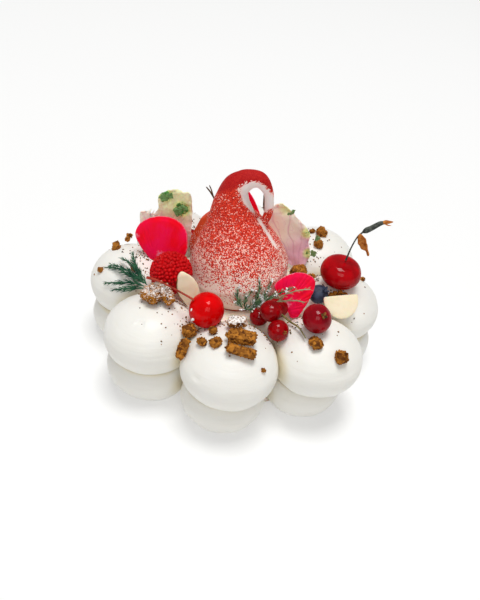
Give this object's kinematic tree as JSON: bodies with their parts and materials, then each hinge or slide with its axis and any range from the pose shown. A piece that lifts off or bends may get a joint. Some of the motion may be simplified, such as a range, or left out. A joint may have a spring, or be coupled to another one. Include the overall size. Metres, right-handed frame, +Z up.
{
  "type": "pavlova",
  "caption": "Round pavlova of piped meringue balls in two rings round a tall red-sprayed swirl with a hooked tip, topped with berries, petals and crumbs.",
  "frame": {"origin": "middle of the flat underside, at the centre of the ring of piped balls, where the cake rests", "axes": "+Z up, front of the cake towards -Y, +X to the right seen from the front"},
  "size_m": [0.1392, 0.1432, 0.0967],
  "materials": {
    "meringue": "matte baked meringue",
    "cream": "soft cream",
    "sprayed_cream": "velvet-sprayed cream",
    "cherry_skin": "glossy fruit skin",
    "currant_skin": "glossy fruit skin",
    "cranberry_skin": "satin fruit skin",
    "blueberry_skin": "bloomed fruit skin",
    "raspberry": "soft fruit",
    "rose_petal": "soft petal",
    "kale": "soft leaf",
    "almond": "sliced nut",
    "oat_biscuit": "rough baked crumb",
    "stem": "dry stem"
  },
  "bodies": {
    "root": {"almond_back": "almond", "almond_left": "almond", "almond_right": "almond", "biscuit_back": "oat_biscuit", "biscuit_behind_petal": "oat_biscuit", "biscuit_block_high": "oat_biscuit", "biscuit_block_low": "oat_biscuit", "biscuit_cluster_left": "oat_biscuit", "biscuit_cluster_right": "oat_biscuit", "biscuit_crease_long": "oat_biscuit", "biscuit_crease_round": "oat_biscuit", "biscuit_dusted": "oat_biscuit", "blueberry": "blueberry_skin", "centre_swirl": "sprayed_cream", "cherry_back": "cherry_skin", "cherry_back_stem": "stem", "cherry_front": "cherry_skin", "cherry_front_stem": "stem", "cherry_right": "cherry_skin", "cherry_right_bract": "stem", "cherry_right_stalk": "stem", "cherry_right_stem": "stem", "cranberry": "cranberry_skin", "cream_core": "cream", "currant_back_high": "currant_skin", "currant_back_low": "currant_skin", "currant_bottom": "currant_skin", "currant_left": "currant_skin", "currant_right": "currant_skin", "currant_stem": "stem", "currant_top": "currant_skin", "kale_leaf_left": "kale", "kale_leaf_right": "kale", "lower_meringue_back": "meringue", "lower_meringue_back_left": "meringue", "lower_meringue_back_right": "meringue", "lower_meringue_front": "meringue", "lower_meringue_front_left": "meringue", "lower_meringue_front_right": "meringue", "lower_meringue_left": "meringue", "lower_meringue_right": "meringue", "raspberry_back": "raspberry", "raspberry_left": "raspberry", "rose_petal_back": "rose_petal", "rose_petal_left": "rose_petal", "rose_petal_right": "rose_petal", "upper_meringue_back": "meringue", "upper_meringue_back_left": "meringue", "upper_meringue_back_right": "meringue", "upper_meringue_front": "meringue", "upper_meringue_front_left": "meringue", "upper_meringue_front_right": "meringue", "upper_meringue_left": "meringue", "upper_meringue_right": "meringue"}
  },
  "joints": []
}
